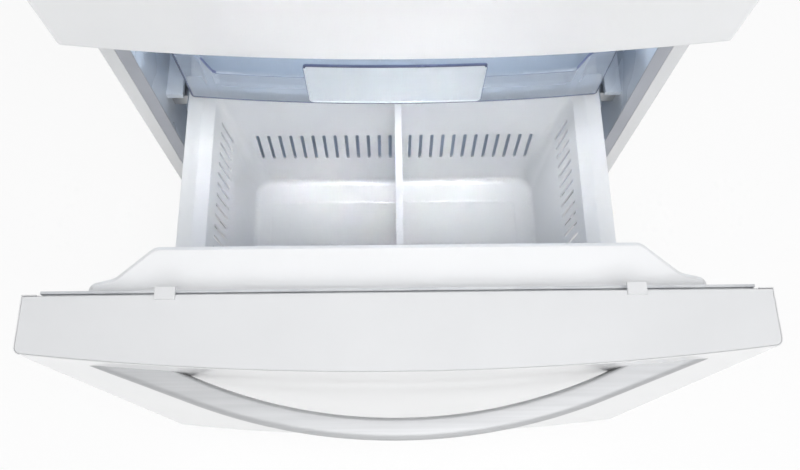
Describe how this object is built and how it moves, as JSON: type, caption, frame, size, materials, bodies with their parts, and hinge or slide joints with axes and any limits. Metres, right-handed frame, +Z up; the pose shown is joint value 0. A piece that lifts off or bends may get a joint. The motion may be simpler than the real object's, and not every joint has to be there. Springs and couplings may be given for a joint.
{
  "type": "bottom freezer refrigerator",
  "caption": "Free-standing refrigerator with a hinged curved door above a pull-out freezer drawer that carries a slotted basket, shown with the drawer drawn out under an inner tray.",
  "frame": {"origin": "on the floor, under the centre of the bounding box of the whole object with its freezer drawer drawn out as pictured", "axes": "+Z up; the doors face -Y; +X is to the right of somebody facing the front"},
  "size_m": [0.838, 1.2858, 1.74],
  "materials": {
    "white_steel": "satin",
    "white_plastic": "satin",
    "gasket": "matte",
    "silver_metal": "satin",
    "basket_plastic": "satin",
    "ice_blue_plastic": "gloss",
    "clear_plastic": "gloss",
    "clear_glass": "gloss",
    "lamp_lens": "satin",
    "zinc_steel": "satin",
    "grey_sheet": "satin",
    "black_steel": "satin",
    "coil_metal": "satin",
    "grey_plastic": "matte",
    "dark_plastic": "matte",
    "foam": "matte"
  },
  "bodies": {
    "case": {"side_panel_left": "white_steel", "side_panel_right": "white_steel", "top_panel": "white_steel", "back_panel": "grey_sheet", "machine_cover": "grey_sheet", "cord_gland": "dark_plastic", "case_foam": "foam", "fridge_liner": "white_plastic", "freezer_liner": "white_plastic", "mullion_rail": "white_steel", "base_frame": "zinc_steel", "toe_grille": "grey_plastic", "compressor": "black_steel", "condenser": "coil_metal", "evaporator": "coil_metal", "evaporator_cover": "white_plastic", "air_duct": "white_plastic", "interior_lamp": "lamp_lens", "shelf_tracks": "zinc_steel", "shelf_frame_top": "white_plastic", "shelf_glass_top": "clear_glass", "shelf_frame_middle": "white_plastic", "shelf_glass_middle": "clear_glass", "crisper_cover": "white_plastic", "crisper_glass": "clear_glass", "top_hinge": "zinc_steel", "hinge_cover": "white_plastic", "centre_hinge": "zinc_steel", "slide_outer": "zinc_steel"},
    "door": {"door_skin": "white_steel", "door_foam": "foam", "door_end_caps": "white_plastic", "door_liner": "white_plastic", "door_gasket": "gasket", "door_handle": "silver_metal", "door_bin_low": "clear_plastic", "door_bin_middle": "clear_plastic", "door_bin_high": "clear_plastic"},
    "drawer": {"drawer_skin": "white_steel", "drawer_foam": "foam", "drawer_end_caps": "white_plastic", "drawer_liner": "white_plastic", "drawer_gasket": "gasket", "drawer_handle": "silver_metal", "slide_inner": "zinc_steel", "freezer_basket": "basket_plastic", "basket_divider": "basket_plastic"},
    "slide_middle": {"slide_middle": "zinc_steel"},
    "tray": {"freezer_tray": "ice_blue_plastic"},
    "crisper_left": {"crisper_left": "clear_plastic"},
    "crisper_right": {"crisper_right": "clear_plastic"},
    "humidity_slider_left": {"humidity_slider_left": "grey_plastic"},
    "humidity_slider_right": {"humidity_slider_right": "grey_plastic"},
    "condenser_fan": {"condenser_fan": "dark_plastic"},
    "evaporator_fan": {"evaporator_fan": "dark_plastic"},
    "leveling_leg_left": {"leveling_leg_left": "dark_plastic"},
    "leveling_leg_right": {"leveling_leg_right": "dark_plastic"},
    "roller_left": {"roller_left": "grey_plastic"},
    "roller_right": {"roller_right": "grey_plastic"}
  },
  "joints": [
    {"name": "freezer_drawer_slide", "type": "slide", "parent": "case", "child": "drawer", "axis": [0, -1, 0], "range_m": [-0.38, 0]},
    {"name": "slide_middle_travel", "type": "slide", "parent": "case", "child": "slide_middle", "axis": [0, -1, 0], "range_m": [-0.19, 0]},
    {"name": "tray_slide", "type": "slide", "parent": "case", "child": "tray", "axis": [0, -1, 0], "range_m": [0, 0.3]},
    {"name": "fridge_door_hinge", "type": "hinge", "parent": "case", "child": "door", "pos_m": [0.408, -0.141, 1.23], "axis": [0, 0, 1], "range_deg": [0, 135]},
    {"name": "crisper_left_slide", "type": "slide", "parent": "case", "child": "crisper_left", "axis": [0, -1, 0], "range_m": [0, 0.26]},
    {"name": "crisper_right_slide", "type": "slide", "parent": "case", "child": "crisper_right", "axis": [0, -1, 0], "range_m": [0, 0.26]},
    {"name": "humidity_left_travel", "type": "slide", "parent": "case", "child": "humidity_slider_left", "axis": [1, 0, 0], "range_m": [-0.02, 0.02]},
    {"name": "humidity_right_travel", "type": "slide", "parent": "case", "child": "humidity_slider_right", "axis": [1, 0, 0], "range_m": [-0.02, 0.02]},
    {"name": "condenser_fan_spin", "type": "hinge", "parent": "case", "child": "condenser_fan", "pos_m": [-0.14, 0.5, 0.135], "axis": [1, 0, 0], "continuous": true},
    {"name": "evaporator_fan_spin", "type": "hinge", "parent": "case", "child": "evaporator_fan", "pos_m": [0, 0.479, 0.636], "axis": [0, 1, 0], "continuous": true},
    {"name": "leveling_leg_left_turn", "type": "hinge", "parent": "case", "child": "leveling_leg_left", "pos_m": [-0.372, -0.062, 0.02], "axis": [0, 0, 1], "continuous": true},
    {"name": "leveling_leg_right_turn", "type": "hinge", "parent": "case", "child": "leveling_leg_right", "pos_m": [0.372, -0.062, 0.02], "axis": [0, 0, 1], "continuous": true},
    {"name": "roller_left_spin", "type": "hinge", "parent": "case", "child": "roller_left", "pos_m": [-0.372, 0.56, 0.016], "axis": [1, 0, 0], "continuous": true},
    {"name": "roller_right_spin", "type": "hinge", "parent": "case", "child": "roller_right", "pos_m": [0.372, 0.56, 0.016], "axis": [1, 0, 0], "continuous": true}
  ],
  "couplings": [
    {"joint": "slide_middle_travel", "follows": "freezer_drawer_slide", "ratio": 0.5},
    {"joint": "crisper_left_slide", "follows": "fridge_door_hinge", "m_per_rad": 0.11},
    {"joint": "crisper_right_slide", "follows": "fridge_door_hinge", "m_per_rad": 0.11}
  ]
}
